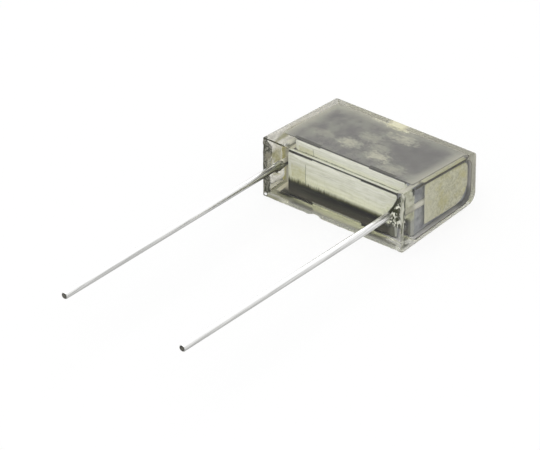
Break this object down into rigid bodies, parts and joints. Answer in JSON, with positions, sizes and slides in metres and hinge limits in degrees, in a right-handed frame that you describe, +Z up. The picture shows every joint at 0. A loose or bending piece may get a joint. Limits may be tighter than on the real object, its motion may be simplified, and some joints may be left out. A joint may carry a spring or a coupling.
{
  "type": "paper capacitor",
  "caption": "Flattened roll of metallised paper cast in a clear, wedge-shaped resin block, with parallel tinned wire leads for soldering into a circuit board.",
  "frame": {"origin": "middle of the lower broad face, on which the part lies", "axes": "+X along the block and the lead pitch, leads point to -Y, +Z up"},
  "size_m": [0.0186, 0.047, 0.0073],
  "materials": {
    "clear_resin": "clear cast epoxy with a faint olive cast, glossy",
    "wrap_sheet": "grey sheet with pale blotches under the resin",
    "paper_roll": "cream paper with fine turns and wrinkles",
    "sprayed_metal": "dull grey sprayed metal, grainy",
    "contact_metal": "khaki grey contact metal, grainy",
    "tinned_wire": "bright tinned wire with fine drawing lines"
  },
  "bodies": {
    "root": {"resin_body": "clear_resin", "insulating_wrap": "wrap_sheet", "winding": "paper_roll", "end_spray_left": "sprayed_metal", "end_spray_right": "sprayed_metal", "end_contact_left": "contact_metal", "end_contact_right": "contact_metal", "lead_left": "tinned_wire", "lead_right": "tinned_wire"}
  },
  "joints": []
}
